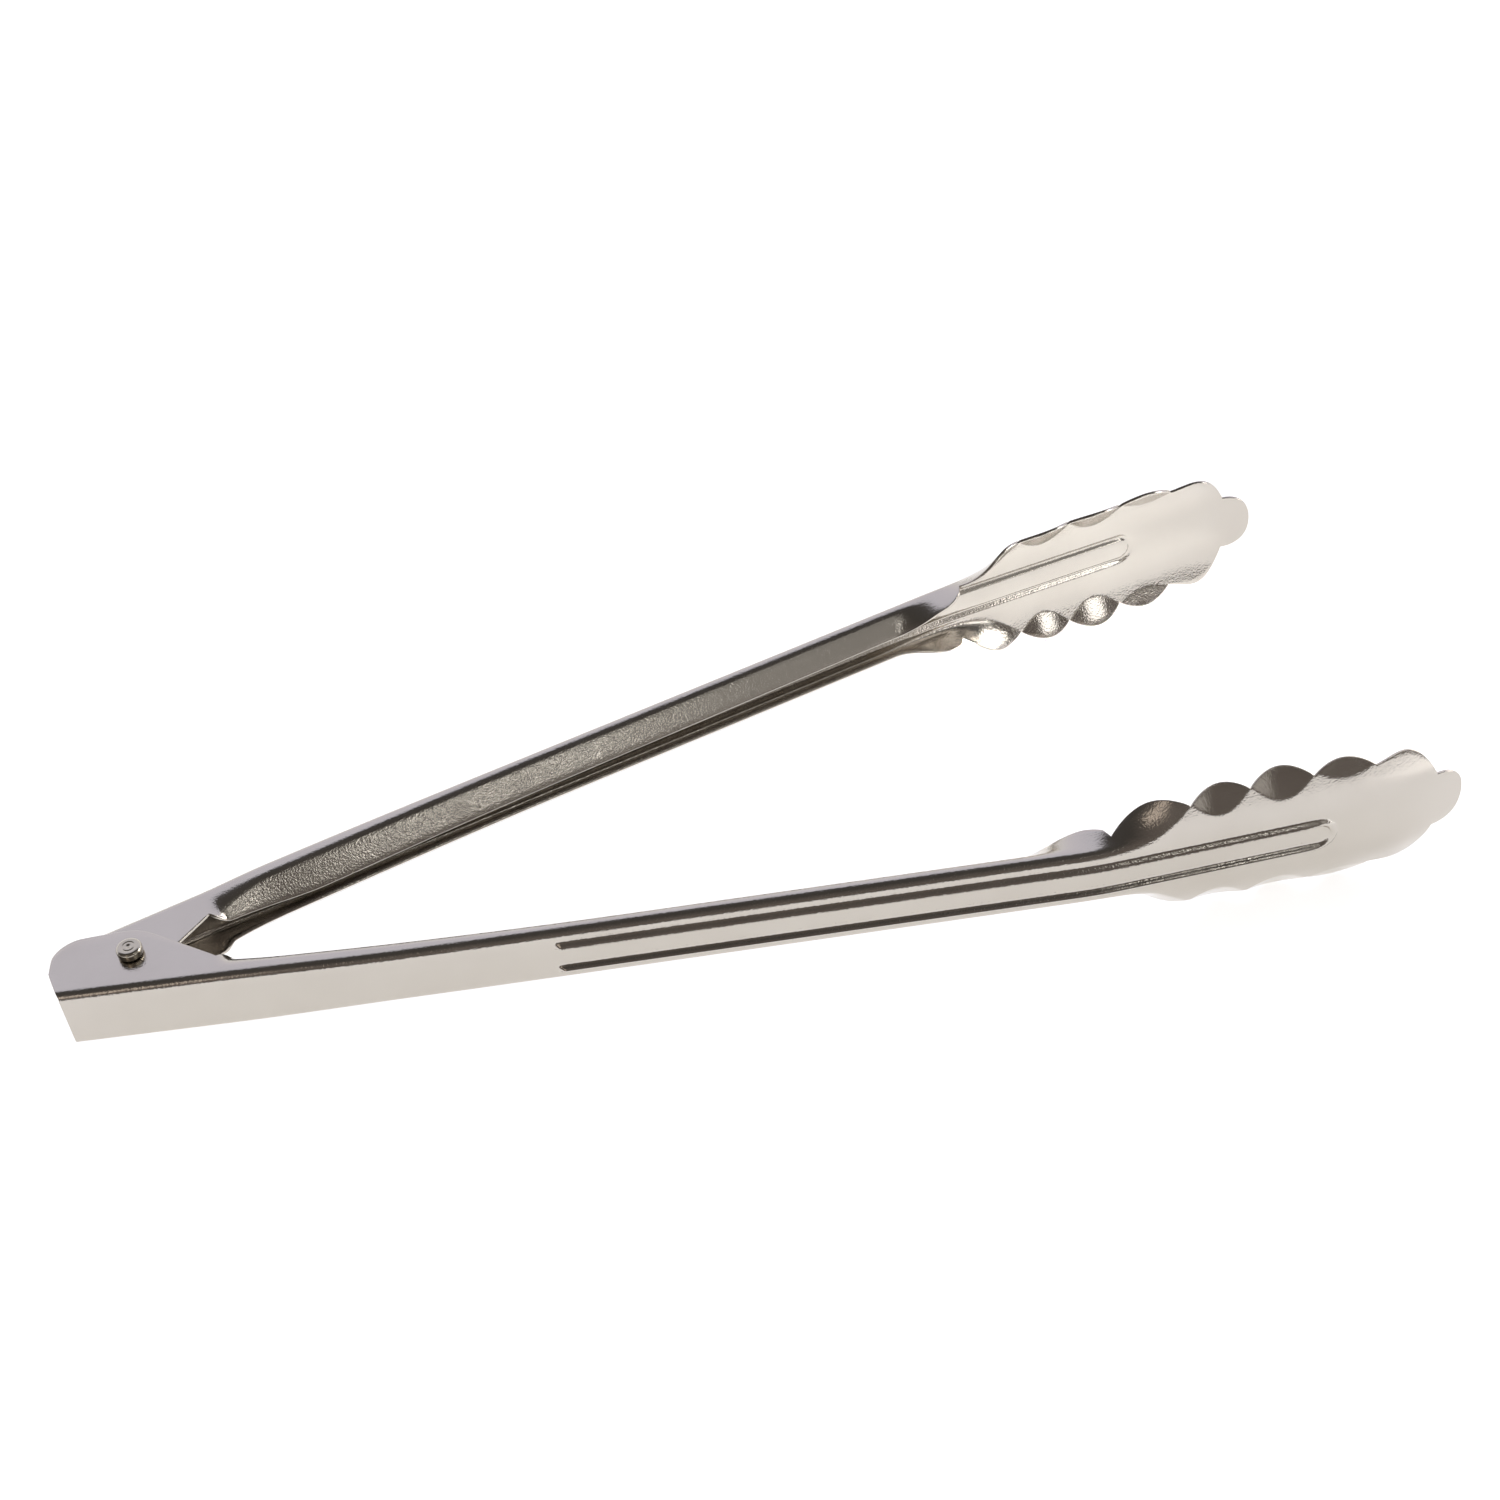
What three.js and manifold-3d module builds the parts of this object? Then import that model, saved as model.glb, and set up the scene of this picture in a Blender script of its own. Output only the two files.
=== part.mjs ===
// Spring loaded kitchen tongs: two stamped sheet-steel arms on one rivet, pushed open by a torsion spring.
// Units are millimetres.  Z runs along the rivet, X points from the hinge to the scooped heads, and the two
// arms open to either side of X.  The origin is on the rivet's axis, at the flat end of its lower head.

import * as THREE from "three";
import { mergeVertices } from "three/addons/utils/BufferGeometryUtils.js";
import Module from "manifold-3d";

const wasm = await Module();
wasm.setup();

// ---------------------------------------------------------------- driving dimensions
const SHEET = 0.8; // sheet thickness of both arms
const HALF_OPENING = THREE.MathUtils.degToRad(12); // each arm lies this far off the X axis at rest
const CORNER_RADIUS = 2; // outside bend between the web and each flange
const HANDLE_HALF_WIDTH = 7.15; // half width of either arm along the grip
const TIP = 288.8; // from the rivet to the end of the tip lobe, measured along the sheet

// a gentle bow along the grip, a sharper set at the neck, and a curl at the tip
const BOW = { start: 10, end: 90, turn: THREE.MathUtils.degToRad(1.4) };
const NECK_SET = { start: 199, end: 213, turn: THREE.MathUtils.degToRad(5.1) };
const TIP_CURL = { start: 258, radius: 103 };

// the two stampings differ only around the hinge: one nests inside the other
const OUTER = {
  side: -1, // which side of X the web lies on
  halfWidth: 7.7,
  rivetDepth: 10.2, // rivet axis behind the outer face of the web
  webRear: -14.6,
  earRear: -17.4,
  earDepth: 17.3,
  earShoulder: 10.6, // depth at which the rear edge starts to round over
  notchDepth: 6.8, // depth at the foot of the ear's sloping front edge
  taperEnd: 60, // the hinge width has blended into the grip width here
  mouthBend: 2, // extra length of the lip's bend where the lip begins
};
const INNER = {
  side: 1,
  halfWidth: 6.6,
  rivetDepth: 11.3,
  webRear: -8.6,
  earRear: -9.6,
  earDepth: 17.1,
  earShoulder: 12.2,
  notchDepth: 8.2,
  taperEnd: 34,
  mouthBend: 4.5,
};
const EAR = {
  cornerLength: 4.6, // length of the rounded rear corner
  topFall: 0.008, // the top edge falls away by this times the square of the distance forward
  topEnd: 1.4, // the sloping front edge begins here
  notch: 18.4, // and ends here
  roundness: 1.6,
  leanDepth: 7, // the rear edge reaches its full lean at this depth
  leanLength: 9, // and the lean has died out this far ahead of the rear edge
};
const TAPER_START = 18;

// folded-in lip along each flange
const LIP = {
  start: 22, // full lip from here
  end: 190,
  turn: THREE.MathUtils.degToRad(47),
  turnStart: 17.5, // the bend grows to its full turn between here and the start
  turnEnd: 205, // and has opened out again here
  bendLength: 1.9,
  mouthEnd: 35, // the wide bend at the start has tightened up here
  depthNear: 3.3, // flange depth where the lip bend begins, hinge end and grip
  depthFar: 2.1,
  depthChange: [25, 105],
  lengthStart: 7.2, // from the bend to the free edge, at the hinge end, at the deepest and at the neck
  lengthNear: 8.5,
  lengthFar: 6.8,
  lengthSettled: 45, // station of the deepest lip
};
const NECK = { bulge: 203, bulgeDepth: 8.5, end: 208.4, endDepth: 6.6, notch: 209.6 };

// two stiffening ribs pressed outward into the web, joined by a half circle near the tip
const RIB = {
  crest: 3.3, // distance of each crest from the middle of the web
  innerFoot: 1,
  outerFoot: 1.5,
  height: 1.15,
  groove: 0.7, // share of the height that is pressed into the inner face
  start: 88.9,
  end: 257.5,
  runOut: 2.5,
  fade: 0.45, // share of the height lost towards the joined end
  fadeStart: 251,
};

// scooped head: flat floor, turned-up rim, five lobes a side bent in like petals, and one tip lobe
const HEAD = {
  openStart: 203,
  openEnd: 224,
  floorHalfWidth: 4.5,
  rimAt: 12.5,
  rimTurn: THREE.MathUtils.degToRad(20),
  petalBend: 1,
  lobeRoundness: 0.8, // below 1 the lobes are fuller than a half sine wave
  tipRoundness: 2.3, // above 2 the tip lobe is squarer than an ellipse
};
const VALLEYS = [
  { at: NECK.notch, reach: 10.8 },
  { at: 226.4, reach: 14.3 },
  { at: 239.5, reach: 15.5 },
  { at: 253.5, reach: 15.4 },
  { at: 267.4, reach: 14.8 },
  { at: 281.8, reach: 7.6 },
];
// each lobe stands beyond its valleys by the rise, folds along a curve that dips by the fold, and turns in
const LOBES = [
  { rise: 3.65, fold: 4.6, turn: THREE.MathUtils.degToRad(14), skew: 1.05 },
  { rise: 3.0, fold: 4.5, turn: THREE.MathUtils.degToRad(14), skew: 1 },
  { rise: 3.5, fold: 4.5, turn: THREE.MathUtils.degToRad(14), skew: 1 },
  { rise: 3.1, fold: 2.0, turn: THREE.MathUtils.degToRad(9), skew: 1 },
  { rise: 5.2, fold: 1.6, turn: 0, skew: 1.4 },
];

const RIVET = { shank: 2.0, clearance: 0.3, head: 2.8, flat: 2.0, height: 2.4, lift: 0.3 };
const SPRING = { wire: 0.7, coil: 5.0, turns: 4, pitch: 1.75, legReach: 26, legGap: 0.35 };

// ---------------------------------------------------------------- small helpers
const clamp01 = (x) => Math.min(1, Math.max(0, x));
const ramp = (x, from, to) => clamp01((x - from) / (to - from));
const smooth = (x, from, to) => {
  const t = ramp(x, from, to);
  return t * t * (3 - 2 * t);
};
const mix = (a, b, t) => a + (b - a) * t;

/** Smaller of two values with the crossing rounded over the given width. */
function roundedMin(a, b, width) {
  const h = clamp01(0.5 + (0.5 * (b - a)) / width);
  return mix(b, a, h) - width * h * (1 - h);
}

// ---------------------------------------------------------------- the line each web follows
const PATH_STEP = 0.5;

/** Direction of the web at a station, in radians turned towards the other arm. */
function pathAngle(s) {
  const curl = Math.max(0, s - TIP_CURL.start) / TIP_CURL.radius;
  const bow = BOW.turn * smooth(s, BOW.start, BOW.end);
  return bow + NECK_SET.turn * smooth(s, NECK_SET.start, NECK_SET.end) + curl;
}

const pathTable = [{ along: 0, inward: 0 }];
for (let s = 0; s < TIP + 2; s += PATH_STEP) {
  const last = pathTable[pathTable.length - 1];
  const angle = pathAngle(s + PATH_STEP / 2);
  pathTable.push({
    along: last.along + PATH_STEP * Math.cos(angle),
    inward: last.inward + PATH_STEP * Math.sin(angle),
  });
}

/** Position of the web's outer face at a station: along the arm, and inward of the straight line. */
function pathPoint(s) {
  if (s <= 0) return { along: s, inward: 0 };
  const index = Math.min(Math.floor(s / PATH_STEP), pathTable.length - 2);
  const t = s / PATH_STEP - index;
  const a = pathTable[index];
  const b = pathTable[index + 1];
  return { along: mix(a.along, b.along, t), inward: mix(a.inward, b.inward, t) };
}

// ---------------------------------------------------------------- shape of the flat blank
function halfWidth(arm, s) {
  return mix(arm.halfWidth, HANDLE_HALF_WIDTH, smooth(s, TAPER_START, arm.taperEnd));
}

/** Distance across the flat blank that lands at a given flange depth once the corner is bent. */
function reachAtDepth(arm, s, depth) {
  const cornerGain = CORNER_RADIUS * (2 - Math.PI / 2);
  return halfWidth(arm, s) + depth - cornerGain;
}

const lipDepth = (s) => mix(LIP.depthNear, LIP.depthFar, smooth(s, ...LIP.depthChange));

/** Length of the bend into the lip; the bend is wide and round where the lip begins. */
function lipBend(arm, s) {
  const mouth = 1 - ramp(s, EAR.notch, LIP.mouthEnd);
  return LIP.bendLength + arm.mouthBend * mouth * mouth;
}

/** Depth of the ear outline, from the rounded rear corner to the sloping front edge. */
function earDepthAt(arm, s) {
  const slope = (arm.earDepth - arm.notchDepth) / (EAR.notch - EAR.topEnd);
  const top = arm.earDepth - EAR.topFall * (s + 1) * (s + 1);
  const front = arm.earDepth - slope * (s - EAR.topEnd);
  return roundedMin(top, front, EAR.roundness);
}

/** Half width of the flat blank at a station, from the ears to the tip lobe. */
function blankReach(arm, s) {
  if (s <= EAR.notch) {
    const cornerEnd = arm.webRear + EAR.cornerLength;
    const round = s < cornerEnd ? Math.sqrt(1 - ((cornerEnd - s) / EAR.cornerLength) ** 2) : 1;
    const full = earDepthAt(arm, s);
    return reachAtDepth(arm, s, mix(Math.min(arm.earShoulder, full), full, round));
  }
  const bend = reachAtDepth(arm, s, lipDepth(s));
  if (s <= LIP.start) {
    const t = ramp(s, EAR.notch, LIP.start);
    return mix(reachAtDepth(arm, s, arm.notchDepth), bend + LIP.lengthStart, t);
  }
  if (s <= NECK.bulge) {
    const along = mix(LIP.lengthNear, LIP.lengthFar, ramp(s, LIP.lengthSettled, LIP.end));
    const lip = mix(LIP.lengthStart, along, smooth(s, LIP.start, LIP.lengthSettled));
    const bulge = reachAtDepth(arm, s, NECK.bulgeDepth) - bend;
    return bend + mix(lip, bulge, smooth(s, LIP.end, NECK.bulge));
  }
  if (s <= NECK.end) {
    const t = ramp(s, NECK.bulge, NECK.end);
    return reachAtDepth(arm, s, mix(NECK.bulgeDepth, NECK.endDepth, t * t));
  }
  if (s <= NECK.notch) {
    return mix(reachAtDepth(arm, s, NECK.endDepth), VALLEYS[0].reach, ramp(s, NECK.end, NECK.notch));
  }
  return headReach(s);
}

/** Which lobe a station falls in, and how far along it. */
function lobeAt(s) {
  for (let i = 0; i < LOBES.length; i += 1) {
    if (s < VALLEYS[i + 1].at) return { index: i, phase: ramp(s, VALLEYS[i].at, VALLEYS[i + 1].at) };
  }
  return { index: LOBES.length, phase: 0 };
}

/** Outline of the scalloped head. */
function headReach(s) {
  const { index, phase } = lobeAt(s);
  if (index === LOBES.length) {
    const last = VALLEYS[LOBES.length];
    const t = ramp(s, last.at, TIP);
    return last.reach * Math.max(0, 1 - t ** HEAD.tipRoundness) ** (1 / HEAD.tipRoundness);
  }
  const chord = mix(VALLEYS[index].reach, VALLEYS[index + 1].reach, phase);
  const lobe = LOBES[index];
  return chord + lobe.rise * Math.sin(Math.PI * phase ** lobe.skew) ** HEAD.lobeRoundness;
}

/** Where the petal fold runs across the blank. */
function foldReach(s) {
  const { index, phase } = lobeAt(Math.max(s, NECK.notch));
  if (index === LOBES.length) return headReach(s);
  const chord = mix(VALLEYS[index].reach, VALLEYS[index + 1].reach, phase);
  return chord - LOBES[index].fold * Math.sin(Math.PI * phase);
}

// ---------------------------------------------------------------- bent cross-section
/** Direction of the sheet at a distance across the blank: 0 is the web, a quarter turn is the flange. */
function sectionAngle(arm, s, across) {
  const cornerStart = halfWidth(arm, s) - CORNER_RADIUS;
  const corner = (Math.PI / 2) * ramp(across, cornerStart, cornerStart + (CORNER_RADIUS * Math.PI) / 2);
  const lipStart = reachAtDepth(arm, s, lipDepth(s));
  const lipAmount = smooth(s, LIP.turnStart, LIP.start) * (1 - smooth(s, LIP.end, LIP.turnEnd));
  const lip = LIP.turn * lipAmount * ramp(across, lipStart, lipStart + lipBend(arm, s));
  const open = smooth(s, HEAD.openStart, HEAD.openEnd);
  if (open === 0) return corner + lip;
  const rim = HEAD.rimTurn * ramp(across, HEAD.floorHalfWidth, HEAD.rimAt);
  const fold = foldReach(s);
  const lobe = LOBES[Math.min(lobeAt(s).index, LOBES.length - 1)];
  const petal = lobe.turn * ramp(across, fold, fold + HEAD.petalBend);
  return mix(corner + lip, rim + petal, open);
}

/** Height of the stiffening ribs above the web, two straight runs joined by a half circle. */
function ribHeight(s, across) {
  const past = Math.max(0, s - (RIB.end - RIB.crest));
  const away = Math.hypot(past, across) - RIB.crest;
  const share = away > 0 ? away / RIB.outerFoot : -away / RIB.innerFoot;
  const rise = smooth(s, RIB.start, RIB.start + RIB.runOut);
  const fade = 1 - RIB.fade * smooth(s, RIB.fadeStart, RIB.end);
  return RIB.height * rise * fade * clamp01(1 - share);
}

const ACROSS_STEP = 0.25;

/** Point of the bent section: depth inward from the web and distance from the centre line. */
function sectionPoint(arm, s, across) {
  const steps = Math.max(1, Math.ceil(across / ACROSS_STEP));
  const step = across / steps;
  let depth = 0;
  let side = 0;
  for (let i = 0; i < steps; i += 1) {
    const angle = sectionAngle(arm, s, (i + 0.5) * step);
    depth += step * Math.sin(angle);
    side += step * Math.cos(angle);
  }
  return { depth, side };
}

/** Outer face of an arm in its own frame: x along the arm, y inward, z across. */
function outerFace(arm, s, across) {
  const { depth, side } = sectionPoint(arm, s, Math.abs(across));
  const path = pathPoint(s);
  const angle = pathAngle(s);
  return new THREE.Vector3(
    path.along - depth * Math.sin(angle),
    path.inward + depth * Math.cos(angle),
    Math.sign(across) * side,
  );
}

/** Unit normal of the outer face, pointing out of the channel. */
function outerNormal(arm, s, across) {
  const nudge = 0.05;
  const along = outerFace(arm, s + nudge, across).sub(outerFace(arm, s - nudge, across));
  const over = outerFace(arm, s, across + nudge).sub(outerFace(arm, s, across - nudge));
  return along.cross(over).normalize();
}

/** Places a point of the arm frame into the open pose. */
function place(arm, point) {
  const y = (point.y - arm.rivetDepth) * -arm.side;
  const angle = HALF_OPENING * arm.side;
  return new THREE.Vector3(
    point.x * Math.cos(angle) - y * Math.sin(angle),
    point.x * Math.sin(angle) + y * Math.cos(angle),
    point.z,
  );
}

// ---------------------------------------------------------------- arm mesh
const STATION_GAP = 0.05; // nearer stations than this are merged

/** Stations along an arm: close together round corners, notches, lobes and the ribs' joined end. */
function armStations(arm) {
  const rows = [];
  for (const angle of [0, 15, 30, 45, 60, 75]) {
    rows.push(arm.webRear + EAR.cornerLength * (1 - Math.cos(THREE.MathUtils.degToRad(angle))));
  }
  rows.push(arm.webRear + EAR.cornerLength, -3, -1, 1, 2.5, 5, 8, 12, 15, EAR.notch);
  rows.push(19.6, 20.8, LIP.start, 23.5, 25.5, 28, 31, LIP.mouthEnd);
  rows.push(40, 48, 62, 76, RIB.start, RIB.start + RIB.runOut / 2, RIB.start + RIB.runOut, 125, 160);
  rows.push(LIP.end, 194, 198, 201, NECK.bulge, 207, NECK.end, NECK.notch);
  for (let lobe = 0; lobe < LOBES.length; lobe += 1) {
    for (const phase of [0.04, 0.12, 0.26, 0.42, 0.58, 0.74, 0.88, 0.96, 1]) {
      rows.push(mix(VALLEYS[lobe].at, VALLEYS[lobe + 1].at, phase));
    }
  }
  for (const t of [0.2, 0.4, 0.6, 0.76, 0.88, 0.96, 0.997]) rows.push(mix(VALLEYS[5].at, TIP, t));
  for (const past of [-1, 0.5, RIB.outerFoot]) rows.push(RIB.end + past);
  rows.sort((a, b) => a - b);
  return rows.filter((s, i) => i === 0 || s - rows[i - 1] > STATION_GAP);
}

/** Places across the half blank where the section changes direction. */
function sectionKnots(arm, s) {
  const reach = blankReach(arm, s);
  const cornerStart = halfWidth(arm, s) - CORNER_RADIUS;
  const cornerEnd = cornerStart + (CORNER_RADIUS * Math.PI) / 2;
  const lipStart = reachAtDepth(arm, s, lipDepth(s));
  const ribKnots = [RIB.crest - RIB.innerFoot, RIB.crest, RIB.crest + RIB.outerFoot];
  const lipEnd = lipStart + lipBend(arm, s);
  const handle = [...ribKnots, cornerStart, (cornerStart + cornerEnd) / 2, cornerEnd, lipStart, lipEnd];
  const fold = foldReach(s);
  const rimKnots = [0.2, 0.45, 0.7].map((share) => mix(HEAD.floorHalfWidth, HEAD.rimAt, share));
  const head = [...ribKnots, ...rimKnots, fold, fold + HEAD.petalBend];
  const open = smooth(s, HEAD.openStart, mix(HEAD.openStart, HEAD.openEnd, 0.5));
  const knots = [0];
  handle.forEach((value, i) => {
    const room = reach * (1 - 0.06 * (handle.length - i));
    knots.push(Math.min(mix(value, head[i], open), room));
  });
  knots.push(reach);
  for (let i = knots.length - 2; i > 0; i -= 1) {
    knots[i] = Math.min(knots[i], knots[i + 1] * (i / (i + 1)) ** 0.3);
  }
  return knots;
}

/** The rear edge leans back from the web to the ear, and the lean dies out ahead of the corner. */
function rearLean(arm, s, across) {
  const depth = across - reachAtDepth(arm, s, 0);
  const lean = (arm.webRear - arm.earRear) * ramp(depth, 0, EAR.leanDepth);
  return -lean * (1 - ramp(s, arm.webRear, arm.webRear + EAR.leanLength));
}

/** Rows of points on the outer face and on the inner face of an arm. */
function armFaces(arm) {
  const outer = [];
  const inner = [];
  for (const s of armStations(arm)) {
    const half = sectionKnots(arm, s);
    const across = [...half.slice(1).reverse().map((u) => -u), ...half];
    const outerRow = [];
    const innerRow = [];
    for (const u of across) {
      const station = s + rearLean(arm, s, Math.abs(u));
      const normal = outerNormal(arm, station, u);
      const face = outerFace(arm, station, u);
      const rib = ribHeight(s, Math.abs(u));
      outerRow.push(place(arm, face.clone().addScaledVector(normal, rib)));
      innerRow.push(place(arm, face.clone().addScaledVector(normal, rib * RIB.groove - SHEET)));
    }
    outer.push(outerRow);
    inner.push(innerRow);
  }
  return { outer, inner };
}

/** Closes two matching grids of points into one solid sheet. */
function sheetBetween(outer, inner) {
  const rows = outer.length;
  const columns = outer[0].length;
  const positions = [];
  for (const grid of [outer, inner]) {
    for (const row of grid) {
      for (const point of row) positions.push(point.x, point.y, point.z);
    }
  }
  const at = (layer, row, column) => layer * rows * columns + row * columns + column;
  const index = [];
  const quad = (a, b, c, d) => index.push(a, b, c, a, c, d);
  for (let i = 0; i < rows - 1; i += 1) {
    for (let j = 0; j < columns - 1; j += 1) {
      quad(at(0, i, j), at(0, i, j + 1), at(0, i + 1, j + 1), at(0, i + 1, j));
      quad(at(1, i, j), at(1, i + 1, j), at(1, i + 1, j + 1), at(1, i, j + 1));
    }
    quad(at(0, i, 0), at(0, i + 1, 0), at(1, i + 1, 0), at(1, i, 0));
    const last = columns - 1;
    quad(at(0, i, last), at(1, i, last), at(1, i + 1, last), at(0, i + 1, last));
  }
  for (let j = 0; j < columns - 1; j += 1) {
    quad(at(0, 0, j), at(1, 0, j), at(1, 0, j + 1), at(0, 0, j + 1));
    const end = rows - 1;
    quad(at(0, end, j), at(0, end, j + 1), at(1, end, j + 1), at(1, end, j));
  }
  const geometry = new THREE.BufferGeometry();
  geometry.setAttribute("position", new THREE.Float32BufferAttribute(positions, 3));
  geometry.setIndex(index);
  return facingOut(geometry);
}

/** Signed volume of an indexed closed mesh. */
function signedVolume(geometry) {
  const position = geometry.getAttribute("position");
  const index = geometry.getIndex();
  const a = new THREE.Vector3();
  const b = new THREE.Vector3();
  const c = new THREE.Vector3();
  let total = 0;
  for (let i = 0; i < index.count; i += 3) {
    a.fromBufferAttribute(position, index.getX(i));
    b.fromBufferAttribute(position, index.getX(i + 1));
    c.fromBufferAttribute(position, index.getX(i + 2));
    total += a.dot(b.cross(c)) / 6;
  }
  return total;
}

/** Turns the faces round if they point inward. */
function facingOut(geometry) {
  if (signedVolume(geometry) > 0) return geometry;
  const index = Array.from(geometry.getIndex().array);
  for (let i = 0; i < index.length; i += 3) {
    [index[i + 1], index[i + 2]] = [index[i + 2], index[i + 1]];
  }
  geometry.setIndex(index);
  return geometry;
}

// ---------------------------------------------------------------- joining and cutting
function toSolid(geometry) {
  const bare = geometry.clone();
  bare.deleteAttribute("normal");
  bare.deleteAttribute("uv");
  const welded = mergeVertices(bare, 1e-4);
  const mesh = new wasm.Mesh({
    numProp: 3,
    vertProperties: new Float32Array(welded.getAttribute("position").array),
    triVerts: new Uint32Array(welded.getIndex().array),
  });
  return new wasm.Manifold(mesh);
}

function toGeometry(solid) {
  const mesh = solid.getMesh();
  const geometry = new THREE.BufferGeometry();
  geometry.setAttribute("position", new THREE.Float32BufferAttribute(mesh.vertProperties, 3));
  geometry.setIndex(Array.from(mesh.triVerts));
  geometry.computeVertexNormals();
  return geometry;
}

/** Solid turned about Z from [radius, z] corners; the profile starts and ends on the axis. */
function turned(profile, segments) {
  const points = profile.map(([radius, height]) => new THREE.Vector2(radius, height));
  const geometry = new THREE.LatheGeometry(points, segments);
  geometry.rotateX(Math.PI / 2);
  return geometry;
}

// ---------------------------------------------------------------- the four pieces
/** One stamped arm with the rivet hole through both ears. */
function armGeometry(arm) {
  const { outer, inner } = armFaces(arm);
  const radius = RIVET.shank + RIVET.clearance;
  const bore = new THREE.CylinderGeometry(radius, radius, 40, 32);
  bore.rotateX(Math.PI / 2);
  return toGeometry(toSolid(sheetBetween(outer, inner)).subtract(toSolid(bore)));
}

/** Shank with a low domed head at each end, standing a little clear of the ears. */
function rivetGeometry() {
  const seat = OUTER.halfWidth + RIVET.lift;
  const top = OUTER.halfWidth + RIVET.height;
  const shoulder = top - (RIVET.head - RIVET.flat);
  const half = [
    [RIVET.shank, seat],
    [RIVET.head, seat],
    [RIVET.head, shoulder],
    [mix(RIVET.flat, RIVET.head, 0.7), mix(shoulder, top, 0.7)],
    [RIVET.flat, top],
    [0, top],
  ];
  const mirrored = half.map(([radius, z]) => [radius, -z]).reverse();
  return facingOut(mergeVertices(stripped(turned([...mirrored, ...half], 32)), 1e-4));
}

function stripped(geometry) {
  geometry.deleteAttribute("normal");
  geometry.deleteAttribute("uv");
  return geometry;
}

/** Point on a web's inner face where a spring leg rests, in the open pose. */
function legRest(arm) {
  const depth = SHEET + SPRING.legGap + SPRING.wire;
  return place(arm, new THREE.Vector3(SPRING.legReach, pathPoint(SPRING.legReach).inward + depth, 0));
}

/** Where the straight line from a leg's end first touches the coil, as an angle about Z. */
function tangentAngle(end, side) {
  const distance = Math.hypot(end.x, end.y);
  return Math.atan2(end.y, end.x) + side * Math.acos(SPRING.coil / distance);
}

/** Centre line of the spring: in along one web, round the rivet, out along the other. */
function springPath() {
  const startEnd = legRest(OUTER);
  const finishEnd = legRest(INNER);
  const startAngle = tangentAngle(startEnd, -1);
  const finishAngle = tangentAngle(finishEnd, 1);
  const wrap = SPRING.turns * 2 * Math.PI + (2 * Math.PI - (finishAngle - startAngle));
  const rise = (SPRING.pitch * wrap) / (2 * Math.PI);
  const perTurn = 20;
  const count = Math.round((perTurn * wrap) / (2 * Math.PI));
  const points = [new THREE.Vector3(startEnd.x, startEnd.y, -rise / 2)];
  for (let i = 0; i <= count; i += 1) {
    const angle = startAngle - (wrap * i) / count;
    const z = -rise / 2 + (rise * i) / count;
    points.push(new THREE.Vector3(SPRING.coil * Math.cos(angle), SPRING.coil * Math.sin(angle), z));
  }
  points.push(new THREE.Vector3(finishEnd.x, finishEnd.y, rise / 2));
  return points;
}

/** Round wire swept along the spring's centre line. */
function springGeometry() {
  const curve = new THREE.CatmullRomCurve3(springPath(), false, "centripetal");
  const wire = new THREE.Shape();
  wire.absarc(0, 0, SPRING.wire, 0, Math.PI * 2, false);
  const options = { steps: 110, curveSegments: 4, extrudePath: curve, bevelEnabled: false };
  return facingOut(mergeVertices(stripped(new THREE.ExtrudeGeometry(wire, options)), 1e-4));
}

// ---------------------------------------------------------------- materials and assembly
const steel = (color, roughness) => new THREE.MeshStandardMaterial({ color, roughness, metalness: 1 });

function piece(name, geometry, material) {
  const mesh = new THREE.Mesh(geometry, material);
  mesh.name = name;
  return mesh;
}

const tongs = new THREE.Group();
tongs.name = "spring_loaded_tongs";
tongs.position.z = OUTER.halfWidth + RIVET.height;
tongs.add(piece("outer_arm", armGeometry(OUTER), steel(0xc9c6c2, 0.25)));
tongs.add(piece("inner_arm", armGeometry(INNER), steel(0xc6c3c0, 0.28)));
tongs.add(piece("hinge_rivet", rivetGeometry(), steel(0xbdb6a6, 0.2)));
tongs.add(piece("torsion_spring", springGeometry(), steel(0xa9a7a4, 0.3)));

export default tongs;
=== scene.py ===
"""Spring loaded kitchen tongs: two stamped steel arms on one rivet, pushed open by a torsion spring.

Shapes are worked out in millimetres and become metres when a mesh is made.  Z runs along the rivet, X
points from the hinge to the scooped heads, and the arms open to either side of X.  Each arm starts as a
flat blank: s is the distance along it from the rivet, and across is the distance from its centre line.
"""

import math
from types import SimpleNamespace

import bpy
import numpy as np
from mathutils import Matrix, Vector


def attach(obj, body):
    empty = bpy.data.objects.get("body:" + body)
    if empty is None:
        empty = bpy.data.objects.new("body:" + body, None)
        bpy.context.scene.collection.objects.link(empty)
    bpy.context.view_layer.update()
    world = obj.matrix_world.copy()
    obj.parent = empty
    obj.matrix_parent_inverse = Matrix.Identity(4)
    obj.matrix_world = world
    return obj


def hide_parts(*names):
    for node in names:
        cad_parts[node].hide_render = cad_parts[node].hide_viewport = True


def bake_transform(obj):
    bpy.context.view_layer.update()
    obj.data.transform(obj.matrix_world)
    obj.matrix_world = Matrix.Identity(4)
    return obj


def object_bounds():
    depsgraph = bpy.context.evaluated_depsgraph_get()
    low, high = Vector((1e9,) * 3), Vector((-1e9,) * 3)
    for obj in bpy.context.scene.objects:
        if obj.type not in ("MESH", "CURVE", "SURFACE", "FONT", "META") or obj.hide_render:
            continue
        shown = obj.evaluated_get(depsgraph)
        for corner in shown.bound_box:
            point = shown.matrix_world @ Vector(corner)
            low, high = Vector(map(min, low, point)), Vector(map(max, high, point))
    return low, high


MILLIMETRE = 0.001
SHARP_ANGLE = 40

# ---------------------------------------------------------------- the stamped arms
SHEET = 0.8
HALF_OPENING = math.radians(12)
CORNER_RADIUS = 2.0
HANDLE_HALF_WIDTH = 7.15
TIP = 288.8

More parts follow.
